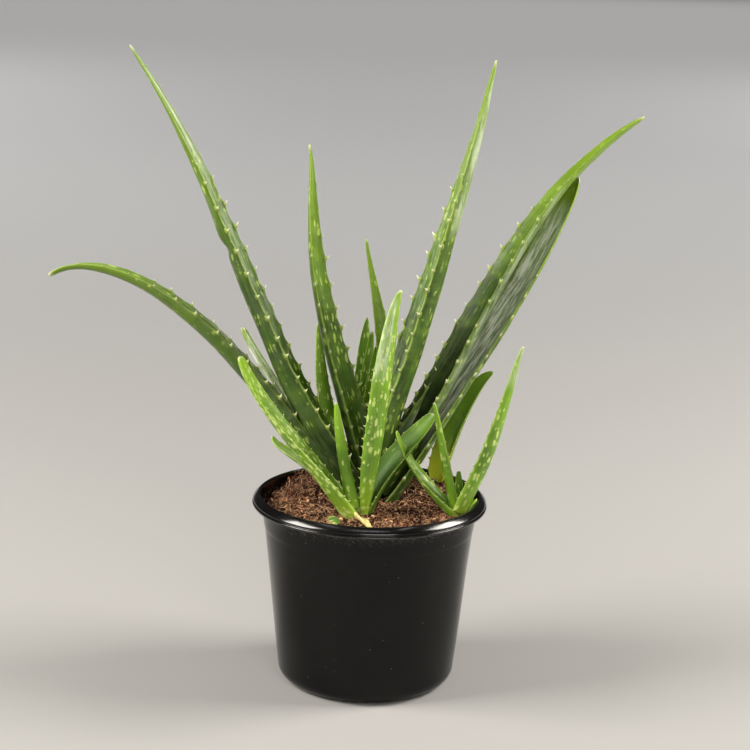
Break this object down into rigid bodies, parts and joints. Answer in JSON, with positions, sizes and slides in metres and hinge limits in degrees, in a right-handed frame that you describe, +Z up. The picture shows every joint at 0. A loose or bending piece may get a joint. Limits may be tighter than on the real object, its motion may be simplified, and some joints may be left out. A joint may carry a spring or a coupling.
{
  "type": "potted aloe vera",
  "caption": "Potted succulent: long tapering toothed leaves rise in rosettes from dark soil in a round black tapered pot with a rolled lip.",
  "frame": {"origin": "centre of the pot's flat underside", "axes": "+Z up along the pot's axis, +X to the right and +Y away from the viewer in the picture"},
  "size_m": [0.3309, 0.136, 0.3508],
  "materials": {
    "pot_plastic": "semi-gloss moulded black",
    "coir_mix": "loose fibrous crumbs",
    "stem_tissue": "matt",
    "mother_leaf_green": "waxy satin with pale spots",
    "pup_leaf_green": "waxy satin with pale spots",
    "shoot_leaf_green": "waxy satin, yellowing at the base",
    "withered_leaf": "dry matt"
  },
  "bodies": {
    "root": {"pot": "pot_plastic", "soil": "coir_mix", "mother_stem": "stem_tissue", "back_pup_stem": "stem_tissue", "front_pup_stem": "stem_tissue", "right_pup_stem": "stem_tissue", "side_shoot_stem": "stem_tissue", "mother_leaf_low_left": "mother_leaf_green", "mother_leaf_right_lower": "mother_leaf_green", "mother_leaf_right_upper": "mother_leaf_green", "mother_leaf_tall_left": "mother_leaf_green", "mother_leaf_small_left": "mother_leaf_green", "mother_leaf_tall_centre": "mother_leaf_green", "mother_leaf_centre_left": "mother_leaf_green", "mother_leaf_inner": "mother_leaf_green", "back_pup_leaf_1": "pup_leaf_green", "back_pup_leaf_2": "pup_leaf_green", "back_pup_leaf_3": "pup_leaf_green", "back_pup_leaf_4": "pup_leaf_green", "front_pup_leaf_1": "pup_leaf_green", "front_pup_leaf_2": "pup_leaf_green", "front_pup_leaf_3": "pup_leaf_green", "front_pup_leaf_4": "pup_leaf_green", "front_pup_leaf_5": "pup_leaf_green", "right_pup_leaf_1": "pup_leaf_green", "right_pup_leaf_2": "pup_leaf_green", "right_pup_leaf_3": "pup_leaf_green", "right_pup_leaf_4": "pup_leaf_green", "right_pup_leaf_5": "pup_leaf_green", "side_shoot_leaf": "shoot_leaf_green", "old_leaf_stub": "withered_leaf", "leaf_scrap": "pup_leaf_green"}
  },
  "joints": []
}
